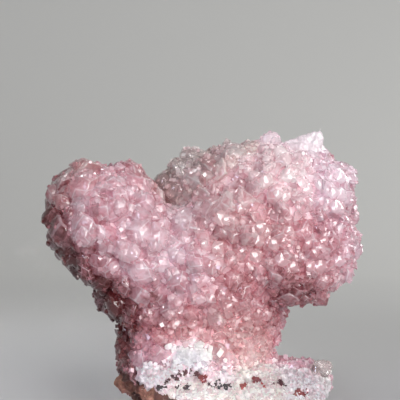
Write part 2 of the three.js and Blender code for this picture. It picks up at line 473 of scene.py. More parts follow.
# %% The generations on the mass
points, normals = surface_arrays(mass)
above = points[:, 2] > LOWEST
points, normals, lift = points[above], normals[above], lift[above]
edges = blend(points, EDGES) * MM
kept, sizes = grow_generations(points, edges)
places, ups, lifts = points[kept], normals[kept], lift[kept]
print(len(kept), "crystals")

# %% [markdown]
# ## How deep the colour is
#
# The same mineral runs from white to deep rose, and to a brownish red where iron has stained it. One
# number says how far along that scale a place is. It is palest above the white layer and on top of the
# right crown, where the paleness is partly the mineral's own tone and partly a painted highlight. It is
# deepest below the right cheek, which is painted shade, and along the lower left side, which is partly
# iron stain and partly painted shade. A second number is the colour's cast, because the rose leans to
# lilac in some places and to a peach tone in others, and the crystals on the shoulder are grey. Two
# small pale lilac spots are painted highlights. A third says how domed the crystals are.

# %% Blush by zone: 0 is white, 1 is stained red; some zones are painted shade and painted highlights
BLUSH_AND_PAINTED_LIGHT = [
    ((-22, -10, 45), 8, 0.42),
    ((-12, -12, 38), 8, 0.36),
    ((-10, -10, 47), 5, 0.40),
    # partly iron stain and partly painted shade: the left side deepens towards a brownish red
    ((-30, -4, 38), 7, 1.10, 2.5),
    ((-28, -3, 46.5), 5, 0.62, 2),
    # painted highlight: two pale spots where flashing faces mirror the bluish window lamp
    ((-17.6, -12, 36.5), 1.1, 0.05, 6),
    ((-4, -12, 34.8), 1.3, 0.08, 6),
    # partly iron stain and partly painted shade: the lower left side, down to the rock, deepens to a
    # brownish red
    ((-26, -7, 32), 6, 1.15),
    ((-19, -8, 25), 6, 1.20),
    ((-17, -6, 17), 6, 1.15),
    ((-13.5, -10, 20), 3.5, 0.95, 2),
    ((-16, -6, 7), 6, 1.00),
    ((-8, -11, 23), 5, 0.58),
    ((-4, -12, 28), 6, 0.36),
    ((-3, -10, 36), 6, 0.27),
    ((-4, -6, 42), 5, 0.16),
    ((-2, 3, 51), 6, 0.08),
    ((6, 0, 55), 5, 0.18),
    ((5, -10, 44), 7, 0.37),
    ((12, -8, 50), 7, 0.27),
    # partly the mineral's own paler tone and partly painted highlight: the top of the right crown is
    # made palest
    ((21, -8, 52), 8, 0.14),
    ((14, -4, 57), 6, 0.10, 2),
    ((31, -4, 44), 6, 0.36),
    ((11, -13, 38), 7, 0.51),
    ((22, -13, 37), 7, 0.55),
    ((29, -8, 32), 6, 0.36),
    # painted shade below the right cheek
    ((20, -10, 26), 6, 0.82),
    ((9, -12, 27), 7, 0.60),
    ((-4, -14, 19), 8, 0.66),
    ((8, -14, 18), 7, 0.50),
    ((-1.7, -12, 14.8), 3.2, 0.00, 12),
    # partly iron stain and partly painted shade: the lower left end by the rock
    ((-13, -8, 5.5), 4.5, 1.05, 4),
    ((-9, -13, 9), 4, 0.30),
    ((-10.5, -12, 14), 5, 0.46, 3),
    ((10, -14, 10), 6, 0.20),
    ((24, -8, 11), 6, 0.36),
    ((0, 12, 32), 20, 0.52),
]

# %% Cast by zone: 0 is lilac, 0.35 rose, 0.7 a peach tone and 1 a cool grey
CAST = [
    # painted highlight: the same two spots are lilac, the colour of the window lamp's flashes
    ((-17.6, -12, 36.5), 1.3, 0.00, 6),
    ((-4, -12, 34.8), 1.6, 0.00, 4),
    ((-3, 1, 51), 6.5, 1.00, 2),
    ((5, 0, 55), 5, 0.95),
    ((-31, -4, 38), 6, 0.39, 2),
    ((-28, -3, 47), 5, 0.88, 2),
    ((-14, -10, 36), 12, 0.28),
    ((-4, -13, 30), 7, 0.26),
    ((8, -12, 40), 10, 0.57),
    ((14, -10, 48), 7, 0.44),
    ((28, -5, 42), 9, 0.18),
    ((18, -12, 30), 8, 0.39),
    ((0, -14, 18), 9, 0.60, 1.5),
    ((-2, -13, 12.7), 3.5, 0.02, 8),
    ((-11, -12, 13), 5, 0.06, 3),
    ((8, -14, 14), 8, 0.85),
    ((24, -8, 9), 7, 0.12),
    ((-2, -13, 8.2), 3.2, 1.00, 4),
    ((5, -13, 11.8), 3, 0.06, 3),
    ((25.4, -6, 10.7), 2.5, 0.44, 10),
    ((21, -12, 7), 3.5, 0.06, 3),
    ((0, 12, 32), 20, 0.23),
]

# %% Domedness by zone: 0 is flat-faced
DOMED = [
    ((-20, -6, 40), 13, 1.70),
    ((-10, -8, 30), 9, 0.90),
    ((0, 2, 50), 8, 0.95),
    ((16, -4, 46), 13, 0.45),
    ((20, -6, 32), 11, 0.50),
    ((4, -10, 28), 11, 0.60),
    ((0, -6, 14), 13, 0.65),
]

# %% [markdown]
# ## The crystals as joined meshes
#
# Clear crystals sparkle at the boundaries where they meet inside, so each one stays a closed body. A
# Geometry Nodes scatter would do, but here the copies are made from arrays, because each crystal then
# also carries a tone and a blush of its own.

# %% Choosing and turning the copies
LEAN = 0.65  # how far a crystal leans off the surface's normal, at most, along each axis
RISE = 0.06  # how far its middle stands above the surface, in edges
FACET_SHARE = 0.5  # how much of a tone is the facet's own, rather than the whole crystal's
TONES = 9  # drawn for each crystal: the first ones for its facets, the last for the whole of it
SKEW = (0.4, 2.6)  # the exponent where crystals are flat-faced, and what domed ones add to it


def form_arrays(form):
    """A form's points, its triangles, and the number of the facet that each is on."""
    mesh = form.data
    facets = array_of(mesh.attributes["facet"].data, "value", kind=int)
    return array_of(mesh.vertices, "co", 3), array_of(mesh.polygons, "vertices", 3, int), facets


def unit(arrows):
    """Arrows of the same directions, each one long."""
    return arrows / np.linalg.norm(arrows, axis=1)[:, None]


def choose_forms(places, count):
    """Which form each crystal takes: the first ones of the list where crystals are domed."""
    skew = SKEW[0] + SKEW[1] * blend(places, DOMED)
    return (count * random.random(len(places)) ** skew).astype(int)


def turns_for(ups, lean):
    """A turn for each crystal: nearly upright on the surface, and spun at random."""
    turns = []
    for up in ups:
        axis = Vector(up + random.uniform(-lean, lean, 3)).normalized()
        stand = Vector((0, 0, 1)).rotation_difference(axis)
        turns.append(Quaternion(axis, random.uniform(0, 2 * math.pi)) @ stand)
    return turns


# %% One mesh for many crystals
def crystals_mesh(name, places, turns, sizes, forms, blushes=None, smooth_angle=40):
    """A mesh object that holds one crystal at each place."""
    shapes = [form_arrays(form) for form in forms]
    if blushes is None:
        blushes = blend(places, BLUSH_AND_PAINTED_LIGHT)
    points, faces, tones, rims = [], [], [], []
    count = 0
    chosen = choose_forms(places, len(forms))
    for place, turn, size, form in zip(places, turns, sizes, chosen):
        form_points, form_faces, facets = shapes[form]
        drawn = random.random(TONES)
        points.append(size * form_points @ np.array(turn.to_matrix()).T + place)
        faces.append(form_faces + count)
        tones.append((1 - FACET_SHARE) * drawn[-1] + FACET_SHARE * drawn[facets])
        rims.append((facets < 0).astype(float))
        count += len(form_points)
    face_counts = [len(each) for each in faces]
    marks = {
        "tone": np.concatenate(tones),
        "rim": np.concatenate(rims),
        "blush": np.repeat(blushes, face_counts),
        "cast": np.repeat(blend(places, CAST), face_counts),
    }
    mesh = bpy.data.meshes.new(name)
    mesh.from_pydata(np.concatenate(points), [], np.concatenate(faces))
    for title, values in marks.items():
        mesh.attributes.new(title, "FLOAT", "FACE").data.foreach_set("value", values)
    piece = bpy.data.objects.new(name, mesh)
    bpy.context.scene.collection.objects.link(piece)
    shade(piece, smooth_angle)
    print(name, len(places), "crystals,", triangle_count(piece), "triangles")
    return piece


# %% Grains, some of which are sunk in
def grains_mesh(name, places, ups, edge, forms, sunk=0, **settings):
    """Crystals of a range of edges in millimetres, sunk in by a share of their edge."""
    sizes = random.uniform(*edge, len(places)) * MM
    places = places - sunk * sizes[:, None] * ups
    return crystals_mesh(name, places, turns_for(ups, LEAN), sizes, forms, **settings)


# %% Each large crystal carries a smaller one, grown nearly in parallel
LARGE = 2.5 * MM
RIDER_SHARE = (0.45, 0.70)  # of the large crystal's size
RIDER_TURN = 0.25  # how far off parallel one is, at most, in radians
RIDER_UP = 0.9  # how much it keeps to the crystal's outer side
OFFSET, OFFSET_LESS = 0.625, 0.50  # how far out its middle is, in edges, and how size lessens that
# painted shade: the hollows between the clumps are given a deeper colour
PAINTED_HOLLOW_SHADE = 0.14  # how much deeper the colour is for each millimetre of hollow between the clumps

turns = turns_for(ups, LEAN)
places = places + RISE * sizes[:, None] * ups
large = np.flatnonzero(sizes > LARGE)
outward = unit(random.normal(size=(len(large), 3)) + RIDER_UP * ups[large])
share = random.uniform(*RIDER_SHARE, len(large))
reach = sizes[large] * (OFFSET - OFFSET_LESS * share)
turns += [
    turns[i] @ Quaternion(Vector(random.normal(size=3)), random.uniform(0, RIDER_TURN))
    for i in large
]
places = np.concatenate([places, places[large] + reach[:, None] * outward])
sizes = np.concatenate([sizes, share * sizes[large]])
ups = np.concatenate([ups, ups[large]])
lifts = np.concatenate([lifts, lifts[large]])
# painted shade: crystals deeper in the hollows between the clumps get a deeper colour
blushes = blend(places, BLUSH_AND_PAINTED_LIGHT) - PAINTED_HOLLOW_SHADE * lifts / MM
print(len(large), "large crystals carry one more each")

# %% Clear grey crystals stand on the shoulder and along the left edge
CLEAR_ZONES = [((-3.5, 2, 51), 6.5), ((1.5, 2, 54.5), 4.0), ((-31, -3, 37), 4.8)]
CLEAR_FUZZ = 1.0  # how blurred the zones' edges are, in millimetres
CLEAR_LEAST = 1.1 * MM  # smaller ones are left out there, so that the others stand free
CLEAR_DEEPEST = 0.62  # and none of them is deeper in colour than this
CLEAR_RISE = 0.22  # how much further out the clear ones stand, in edges

fuzz = CLEAR_FUZZ * random.normal(size=len(places))
clarity = np.zeros(len(places), dtype=bool)
for centre, reach in CLEAR_ZONES:
    clarity |= np.linalg.norm(places / MM - centre, axis=1) + fuzz < reach
clear = clarity & (sizes > CLEAR_LEAST)
blushes[clear] = np.minimum(blushes[clear], CLEAR_DEEPEST)
places[clear] += CLEAR_RISE * sizes[clear, None] * ups[clear]
print(clear.sum(), "of the crystals are clear")

# %% The crystals of the crust
SETS = {  # which crystals, their forms, and the degrees up to which two faces shade as one
    "pink_crystals_large": (~clarity & (sizes > LARGE), large_forms, 55),
    "pink_crystals_small": (~clarity & (sizes <= LARGE), small_forms, 40),
    "grey_crystals": (clear, large_forms[:2], 40),
}
crystals = {
    name: crystals_mesh(
        name, places[own], list(compress(turns, own)), sizes[own], forms, blushes[own], degrees
    )
    for name, (own, forms, degrees) in SETS.items()
}
crust = list(crystals.values())

# %% [markdown]
# ## A sugar of the smallest crystals
#
# The last generation is a dusting of grains of well under a millimetre. They sit on top of the others,
# so their places are found by casting rays at the finished crystals from outside. The dusting is
# thickest on the right edge, on the crest and around the foot.

# %% Finding places on the outside of finished pieces
def outer_places(pieces, starts, directions):
    """Where rays from the starts first meet the pieces, and the surface's normals there."""
    graph = bpy.context.evaluated_depsgraph_get()
    trees = [BVHTree.FromObject(piece, graph) for piece in pieces]
    found, normals = [], []
    for start, direction in zip(starts, directions):
        hits = [tree.ray_cast(Vector(start), Vector(direction)) for tree in trees]
        hits = [hit for hit in hits if hit[0] is not None]
        if hits:
            nearest = min(hits, key=lambda hit: hit[3])
            normal = nearest[1] if nearest[1].dot(Vector(direction)) < 0 else -nearest[1]
            found.append(nearest[0])
            normals.append(normal)
    return np.array(found), np.array(normals)


# %% The dusting of grains
SUGAR = [  # how likely a grain is to settle
    ((-22, -8, 42), 12, 0.22),
    ((31, -4, 36), 6, 0.95),
    ((20, -4, 53), 8, 0.60),
    ((10, -10, 40), 9, 0.30),
    ((22, -12, 32), 7, 0.45),
    ((0, -13, 30), 9, 0.12),
    ((-6, -13, 17), 9, 0.45),
    ((14, -12, 12), 9, 0.80),
    ((0, 12, 30), 20, 0.30),
]
SUGAR_TRIES = 9000
SUGAR_EDGE = (0.45, 0.95)
OUTSIDE = 8 * MM

tried = random.choice(len(points), SUGAR_TRIES, replace=False)
settled = tried[random.random(SUGAR_TRIES) < blend(points[tried], SUGAR)]
grain_places, grain_ups = outer_places(
    crust, points[settled] + OUTSIDE * normals[settled], -normals[settled]
)
sugar = grains_mesh("sugar_crystals", grain_places, grain_ups, SUGAR_EDGE, sugar_forms)
crust.append(sugar)

# %% [markdown]
# ## The white layer
#
# The white calcite is a broken, granular band. A copy of its solid is remeshed finely and pushed in and
# out by a cloud pattern, and then covered with its own sugar of grains.

# %% A copy of one of the frame's solids
def copy_of_node(node, name):
    """A free copy of a frame solid, with its loose triangles merged."""
    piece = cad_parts[node].copy()
    piece.data = piece.data.copy()
    piece.name = name
    piece.parent = None
    piece.data.materials.clear()
    for key in list(piece.keys()):
        del piece[key]
    bpy.context.scene.collection.objects.link(piece)
    only(piece)
    with editing():
        bpy.ops.mesh.remove_doubles(threshold=1e-6)
    return piece


# %% Breaking its surface up
ROUGH_VOXEL = 0.5 * MM
ROUGH_SMOOTHING = 3  # rounds
ROUND_SHADING, CHIP_SHADING = 60, 18  # degrees up to which two faces shade as one


def rough_copy(node, name, roughness, grain, chips=0, flat_below=None):
    """A finely remeshed copy of a frame solid with a broken surface.

    If chips is given, only that share of its faces is kept, which breaks it like stone."""
    piece = copy_of_node(node, name)
    skin(piece, ROUGH_VOXEL, ROUGH_SMOOTHING)
    settings = {"level": 0.55, "depth": 4}
    if flat_below is not None:
        broken = piece.vertex_groups.new(name="broken")
        for vertex in piece.data.vertices:
            share = min(max(vertex.co.z / flat_below - 1, 0), 1)
            broken.add([vertex.index], share, "REPLACE")
        settings["vertex_group"] = "broken"
    roughen(piece, grain, roughness, **settings)
    if chips:
        apply_modifier(piece, "DECIMATE", ratio=chips)
    shade(piece, CHIP_SHADING if chips else ROUND_SHADING)
    print(name, triangle_count(piece), "triangles")
    return piece


# %% The white layer and its grains
WHITE_GRAINS = 2600
WHITE_GRAIN_EDGE = (0.5, 1.3)  # in millimetres
FAINT = 0.12  # how deep their colour is, at most

white = rough_copy("white_calcite_layer", "white_layer", roughness=1.8 * MM, grain=2.2 * MM)
white_points, white_normals = surface_arrays(white)
tried = random.choice(len(white_points), WHITE_GRAINS, replace=False)
white_grains = crystals_mesh(
    "white_grains",
    white_points[tried],
    turns_for(white_normals[tried], LEAN),
    random.uniform(*WHITE_GRAIN_EDGE, len(tried)) * MM,
    sugar_forms,
    blushes=FAINT * random.random(len(tried)),
)

# %% [markdown]
# ## From the white layer into the pink
#
# In front the pink crust fades out downwards in a drift of small white grains, which hides where the
# two minerals meet. Rays from the camera find where the grains lie. Higher up there are fewer.

# %% What the camera sees
def seen(spots, pieces):
    """Where the camera's rays first meet the pieces.

    A ray goes through a spot of the upright middle plane: across and up, in millimetres."""
    aims = np.insert(spots * MM, 1, 0, axis=1)
    starts = np.tile(camera.location, (len(aims), 1))
    return outer_places(pieces, starts, aims - starts)


# %% The drift of white grains, measured in millimetres
DRIFT_TRIES = 5900
DRIFT_ACROSS = (-13.5, 27.5)
DRIFT_FOOT = 1.6
DRIFT_FROM, DRIFT_TO = 7.0, 13.0  # it is whole below the first height and ends at the second
WAVE, WAVE_LENGTH, SLOPE = 0.9, 4.2, 0.03  # how the first height rises, falls and sinks
THINNING = 3  # how fast it thins out above that
LEFT_END, LEFT_LEAN, LEFT_FADE = -9.75, 0.55, 3  # where it ends at the left, at height 0
DRIFT_EDGE = (0.4, 1.05)
DRIFT_FAINT, DRIFT_DEEPENS = 0.10, 0.012  # the colour's random part, and its part for each height
PINK_GRAINS = 0.40  # share of the grains that are pink
PINK_BLUSH = 0.36  # how deep their colour is

across = random.uniform(*DRIFT_ACROSS, DRIFT_TRIES)
heights = random.uniform(DRIFT_FOOT, DRIFT_TO, DRIFT_TRIES)
top = DRIFT_FROM - WAVE * np.sin(across / WAVE_LENGTH) - SLOPE * across
thick = np.clip((DRIFT_TO - heights) / (DRIFT_TO - top), 0, 1) ** THINNING
thick *= np.clip((across - LEFT_END + LEFT_LEAN * heights) / LEFT_FADE, 0, 1)
stays = random.random(DRIFT_TRIES) < thick
spots = np.stack([across, heights], axis=1)[stays]
drift_places, drift_ups = seen(spots, crust + [white, white_grains])
grain_count = len(drift_places)
drift_blushes = DRIFT_FAINT * random.random(grain_count)
drift_blushes += DRIFT_DEEPENS * spots[:grain_count, 1]
drift_blushes[random.random(grain_count) < PINK_GRAINS] = PINK_BLUSH
drift = crystals_mesh(
    "white_drift",
    drift_places,
    turns_for(drift_ups, LEAN),
    random.uniform(*DRIFT_EDGE, grain_count) * MM,
    sugar_forms,
    blushes=drift_blushes,
)

# %% A patch of larger white crystals above the drift
PATCH_MIDDLE, PATCH_REACH = (-1.9, 12.5), (3.6, 1.7)  # across and up, in millimetres
PATCH_CRYSTALS = 150
PATCH_EDGE = (0.7, 1.4)
PATCH_LEAN = 0.9
GATHERED = 0.5  # how close a cluster keeps to its middle, in reaches


def cluster(middle, reach, count):
    """Spots that crowd around a middle."""
    return middle + GATHERED * random.normal(size=(count, 2)) * reach


patch_places, patch_ups = seen(cluster(PATCH_MIDDLE, PATCH_REACH, PATCH_CRYSTALS), crust)
patch = crystals_mesh(
    "white_patch",
    patch_places,
    turns_for(patch_ups, PATCH_LEAN),
    random.uniform(*PATCH_EDGE, len(patch_places)) * MM,
    small_forms,
    blushes=np.zeros(len(patch_places)),
)

# %% [markdown]
# ## Iron oxide grains
#
# Small dark grains are caught in the front of the white layer, in about a dozen clusters. Most are
# dark red, some nearly black, and a few orange. They are the white layer's own form of grain, sunk
# in deeper, because iron oxide fills the gaps between its grains.

# %% The oxide grains
OXIDE = [  # middle and reach across and up, in millimetres, how many grains, and the redness
    ((-7.0, 6.4), (0.7, 0.7), 6, 0.15),
    ((-5.4, 7.8), (0.9, 0.5), 10, 0.25),
    ((-3.0, 8.6), (1.3, 0.4), 13, 0.35),
    ((-0.9, 8.7), (1.0, 0.4), 10, 0.40),
    ((0.6, 7.4), (0.7, 1.0), 17, 0.62),
    ((-8.7, 5.5), (0.5, 0.5), 5, 0.05),
    ((-3.2, 6.0), (3.0, 1.4), 12, 0.08),
    ((4.2, 5.9), (1.9, 0.7), 20, 0.05),
    ((9.6, 6.0), (0.9, 0.7), 13, 0.85),
    ((12.2, 7.0), (0.9, 0.6), 13, 0.60),
    ((13.6, 6.2), (0.5, 0.4), 5, 0.95),
    ((17.3, 6.4), (0.9, 0.7), 12, 0.30),
    ((21.6, 4.2), (1.4, 0.6), 18, 0.66),
]
SUNK = 0.42  # how deep the grains are sunk in the white ones, in their own edges
OXIDE_EDGE = (0.45, 0.95)

spots, redness = [], []
for middle, reach, count, red in OXIDE:
    spots.append(cluster(middle, reach, count))
    redness.append(np.full(count, red))
oxide_places, oxide_ups = seen(np.concatenate(spots), crust + [white, white_grains, drift])
oxide = grains_mesh(
    "oxide_grains",
    oxide_places,
    oxide_ups,
    OXIDE_EDGE,
    sugar_forms,
    sunk=SUNK,
    blushes=np.concatenate(redness),
)

# %% [markdown]
# ## The round cluster
#
# At the end of the right foot sits a small ball of clear grey-white crystals, all pointing outwards.

# %% The round cluster
BALL = np.array((25.4, -6.0, 10.8)) * MM
BALL_RADIUS = 1.35 * MM
BALL_CRYSTALS = 64
BALL_EDGE = (0.9, 1.7)
BALL_LEAN = 0.8
BALL_BLUSH = 0.02

outward = unit(random.normal(size=(BALL_CRYSTALS, 3)))
ball = crystals_mesh(
    "round_cluster",
    BALL + BALL_RADIUS * outward,
    turns_for(outward, BALL_LEAN),
    random.uniform(*BALL_EDGE, BALL_CRYSTALS) * MM,
    small_forms,
    blushes=np.full(BALL_CRYSTALS, BALL_BLUSH),
)

# %% [markdown]
# ## The host rock
#
# The seat of rock is rough and dull, and it is flat underneath, where the specimen was trimmed. Its
# broken surface is made like the white layer's, and then thinned out to coarse chips. At its left end
# some loose bits lie on a ledge. They are copies of the small forms, sunk in a little.

# %% The host rock
rock = rough_copy(
    "host_rock", "rock", roughness=4.6 * MM, grain=2.8 * MM, chips=0.12, flat_below=0.8 * MM
)

# %% The ledge of rubble at the left end of the rock
# Its upper edge runs down to the right: across and up, in millimetres.
LEDGE = [(-16.6, 8.2), (-13.6, 6.4), (-11.8, 5.1), (-8.9, 4.2), (-6.5, 3.0), (-4.0, 1.4)]
LEDGE_ACROSS, LEDGE_HEIGHTS = (-17.6, -4.0), (0.6, 8.2)
LEDGE_TRIES = 900
LEDGE_SUNK = 0.25
LEDGE_BACK = 12 * MM  # what the rays missed in front lies behind this
RUBBLE_EDGE = (0.7, 1.9)

across = random.uniform(*LEDGE_ACROSS, LEDGE_TRIES)
heights = random.uniform(*LEDGE_HEIGHTS, LEDGE_TRIES)
below = heights < np.interp(across, *np.array(LEDGE).T)
spots = np.stack([across, heights], axis=1)[below]
rubble_places, rubble_ups = seen(spots, crust + [white, white_grains, drift, mass, rock])
in_front = rubble_places[:, 1] < LEDGE_BACK
rubble_places, rubble_ups = rubble_places[in_front], rubble_ups[in_front]
rubble = grains_mesh(
    "rubble", rubble_places, rubble_ups, RUBBLE_EDGE, small_forms, sunk=LEDGE_SUNK
)

# %% [markdown]
# ## The lone blade
#
# One white blade stands up at the back of the right crown: a long ramp that ends in a steep point. It
# starts as two four-sided cones, a long one and a short one. Each is stretched, its tip is pulled over
# to one end, and a voxel remesh joins the two. A fine cloud pattern then roughens them.

# %% The two ridges of the blade
RIDGES = {  # middle of the foot, its length and width, and where the tip is, in millimetres
    "ramp": ((19.4, -0.8, 55.4), (15.5, 5.0), (24.2, -0.5, 60.0)),
    "horn": ((22.9, -0.8, 55.4), (7.0, 4.0), (25.3, -0.5, 60.5)),
}

bpy.ops.object.select_all(action="DESELECT")
ridges = []
for name, (foot, (length, width), tip) in RIDGES.items():
    bpy.ops.mesh.primitive_cone_add(vertices=4, radius1=0.5, radius2=0, depth=1)
    ridge = bpy.context.object
    ridge.name = name
    pull = Vector(tip) - Vector(foot)
    with editing():
        bpy.ops.transform.translate(value=(0, 0, 0.5))
        side = Vector((length, width, pull.z)) * MM
        bpy.ops.transform.resize(value=side, center_override=(0, 0, 0))
        bpy.ops.transform.translate(value=Vector(foot) * MM)
        select_points(ridge, lambda point: point.z > (foot[2] + tip[2]) / 2 * MM)
        bpy.ops.transform.translate(value=(pull.x * MM, pull.y * MM, 0))
    ridges.append(ridge)
blade = joined(ridges, "white_blade")
print("the blade starts as", len(ridges), "cones")

# %% The blade in one
BLADE_VOXEL = 0.2 * MM
BLADE_GRAIN = 0.9 * MM
BLADE_RELIEF = 0.9 * MM

skin(blade, BLADE_VOXEL, ROUGH_SMOOTHING)
roughen(blade, BLADE_GRAIN, BLADE_RELIEF, level=0.45)
shade(blade)
print("white_blade", triangle_count(blade), "triangles")

# %% [markdown]
# ## Faces that flash
#
# Here and there a flat face happens to stand so that it mirrors a lamp, and the whole face flashes
# white. Such a face looks halfway between the camera and the lamp, so a few crystals are turned so.

# %% The flashing faces
FLASHES = [  # middle and reach across and up, in millimetres, how many, and the lamp they answer
    ((21, 44), (9, 8), 22, "glint_right"),
    ((15, 52), (8, 3.5), 10, "glint_high"),
    ((10, 37), (9, 7), 12, "glint_right"),
    ((24, 33), (6, 4), 7, "glint_right"),
    ((-14, 40), (9, 7), 9, "glint_window"),
    ((0, 19), (9, 6), 8, "glint_high"),
    ((-18.4, 35.2), (0.3, 0.3), 2, "glint_window"),
    ((-4.2, 33.5), (0.4, 0.4), 3, "glint_window"),
    ((-18.3, 31.9), (0.2, 0.2), 1, "glint_high"),
]
FLASH_LEAN = 0.05
FLASH_EDGE = (1.0, 2.2)

flat_form = crystal_form("flash", squash=0.62, round_off=0, dome=0.25, flat_tip=0.24)
spots, lamps = [], []
for middle, reach, count, name in FLASHES:
    spots.append(middle + random.uniform(-1, 1, (count, 2)) * reach)
    lamps += [bpy.data.objects[name].location] * count
flash_places, _ = seen(np.concatenate(spots), crust)
to_camera = unit(np.array(camera.location) - flash_places)
to_lamps = unit(np.array(lamps) - flash_places)
flashes = crystals_mesh(
    "flashing_crystals",
    flash_places,
    turns_for(unit(to_camera + to_lamps), FLASH_LEAN),
    random.uniform(*FLASH_EDGE, len(flash_places)) * MM,
    [flat_form],
)

# %% [markdown]
# ## Finishes
#
# The effects that several minerals share are node groups: the colour scale of the calcite, which also
# paints a highlight on the crystals' rounded edges, and the mosaic of tiny growth faces that makes it
# sparkle.

# %% Helpers for nodes
def new_group(name, inputs, output, kind):
    """An empty shader node group with number inputs and one output."""
    group = bpy.data.node_groups.new(name, "ShaderNodeTree")
    for title in inputs:
        group.interface.new_socket(title, in_out="INPUT", socket_type="NodeSocketFloat")
    group.interface.new_socket(output, in_out="OUTPUT", socket_type=kind)
    return group, group.nodes.new("NodeGroupInput").outputs, group.nodes.new("NodeGroupOutput")


def math_node(tree, operation, *values, kind="ShaderNodeMath"):
    """The result of a math node, or of a vector math node, on values and other sockets."""
    node = tree.nodes.new(kind)
    node.operation = operation
    fill(node, dict(enumerate(values)))
    return node.outputs[0]


def texture_node(tree, kind, inputs):
    """A texture on the piece's own Object coordinates."""
    where = tree.nodes.new("ShaderNodeTexCoord")
    return add_node(tree, kind, {"Vector": where.outputs["Object"]} | inputs)


def attribute_node(tree, name):
    """The value that each face or point of a piece carries under a name."""
    node = tree.nodes.new("ShaderNodeAttribute")
    node.attribute_name = name
    return node.outputs["Fac"]


def ramp_node(tree, level, stops):
    """The colour at a level on a scale, whose stops run from the first to the last."""
    node = add_node(tree, "ShaderNodeValToRGB", {"Fac": level})
    for position, _ in stops[1:-1]:
        node.color_ramp.elements.new(position)
    for element, (position, colour) in zip(node.color_ramp.elements, stops):
        element.position = position
        element.color = (*colour, 1)
    return node.outputs["Color"]


# %% The colour scale of calcite
# its darkest end also serves as painted shade along the lower left side
CALCITE_SCALE = [  # from white through rose to an iron-stained red
    (0.00, (0.96, 0.94, 0.95)),
    (0.25, (0.85, 0.72, 0.75)),
    (0.45, (0.77, 0.54, 0.58)),
    (0.70, (0.58, 0.28, 0.31)),
    (1.00, (0.20, 0.045, 0.045)),
]
CASTS = [  # what each cast multiplies that colour by
    (0.00, (0.93, 0.94, 1.00)),
    (0.35, (1.00, 0.96, 0.965)),
    (0.70, (0.94, 0.93, 0.86)),
    (1.00, (0.82, 0.82, 0.81)),
]
scale_group, given, result = new_group(
    "calcite_scale",
    ("Blush", "Tone", "Spread", "Rim", "Rim Fade", "Veil", "Cast"),
    "Color",
    "NodeSocketColor",
)
off_middle = math_node(scale_group, "SUBTRACT", given["Tone"], 0.5)
shift = math_node(scale_group, "MULTIPLY", off_middle, given["Spread"])
whole = math_node(scale_group, "ADD", given["Blush"], shift)
# painted highlight: the rounded edges of a crystal are made paler, as if they caught the light
fade = math_node(scale_group, "MULTIPLY", given["Rim"], given["Rim Fade"])
level = math_node(scale_group, "SUBTRACT", whole, fade)
veils = texture_node(
    scale_group, "ShaderNodeTexNoise", {"Scale": 620, "Detail": 3, "Distortion": 0.8}
)
cloudy = math_node(scale_group, "SUBTRACT", veils.outputs["Fac"], 0.5)
cloudy = math_node(scale_group, "MULTIPLY", cloudy, given["Veil"])
level = math_node(scale_group, "ADD", level, cloudy)
colour = ramp_node(scale_group, level, CALCITE_SCALE)
tint = ramp_node(scale_group, given["Cast"], CASTS)
VECTOR = {"kind": "ShaderNodeVectorMath"}
fill(result, {"Color": math_node(scale_group, "MULTIPLY", colour, tint, **VECTOR)})
print("the scale has", len(CALCITE_SCALE), "colours and", len(CASTS), "casts")

# %% The growth mosaic, where each small face leans its own way
CELL = 1600  # growth faces to a metre
mosaic_group, given, result = new_group(
    "growth_mosaic", ("Scale", "Tilt"), "Normal", "NodeSocketVector"
)
cells = texture_node(mosaic_group, "ShaderNodeTexVoronoi", {"Scale": given["Scale"]})
lean = math_node(mosaic_group, "SUBTRACT", cells.outputs["Color"], (0.5, 0.5, 0.5), **VECTOR)
lean = math_node(mosaic_group, "SCALE", lean, **VECTOR)
fill(lean.node, {"Scale": given["Tilt"]})
surface = mosaic_group.nodes.new("ShaderNodeNewGeometry").outputs["Normal"]
lean = math_node(mosaic_group, "ADD", surface, lean, **VECTOR)
fill(result, {"Normal": math_node(mosaic_group, "NORMALIZE", lean, **VECTOR)})
print("groups:", [group.name for group in bpy.data.node_groups])

# %% Calcite of any clearness
MARKS = ("Tone", "Rim", "Blush", "Cast")  # what each face of a crystal carries
OPTICS = {
    "IOR": 1.62,
    "Coat Roughness": 0.04,
    "Coat IOR": 1.7,
    "Subsurface Radius": (1, 1, 1),
    "Subsurface Scale": 0.8 * MM,
}


def calcite(name, scale_values, shader_values, tilt, cell=CELL, lets_by=None):
    """Calcite of some clearness. Light that falls through it is tinted by lets_by."""
    material, tree, shader = new_material(name)
    scale = tree.nodes.new("ShaderNodeGroup")
    scale.node_tree = scale_group
    fill(scale, scale_values)
    fill(scale, {title: attribute_node(tree, title.lower()) for title in MARKS})
    mosaic = tree.nodes.new("ShaderNodeGroup")
    mosaic.node_tree = mosaic_group
    fill(mosaic, {"Scale": cell, "Tilt": tilt})
    fill(shader, {"Base Color": scale.outputs["Color"], "Normal": mosaic.outputs["Normal"]})
    fill(shader, OPTICS | shader_values)
    if lets_by:
        through = add_node(tree, "ShaderNodeBsdfTransparent", {"Color": (*lets_by, 1)})
        is_shadow = tree.nodes.new("ShaderNodeLightPath").outputs["Is Shadow Ray"]
        ways = {"Fac": is_shadow, 1: shader.outputs["BSDF"], 2: through.outputs["BSDF"]}
        choice = add_node(tree, "ShaderNodeMixShader", ways)
        fill(tree.nodes["Material Output"], {"Surface": choice.outputs["Shader"]})
    return material


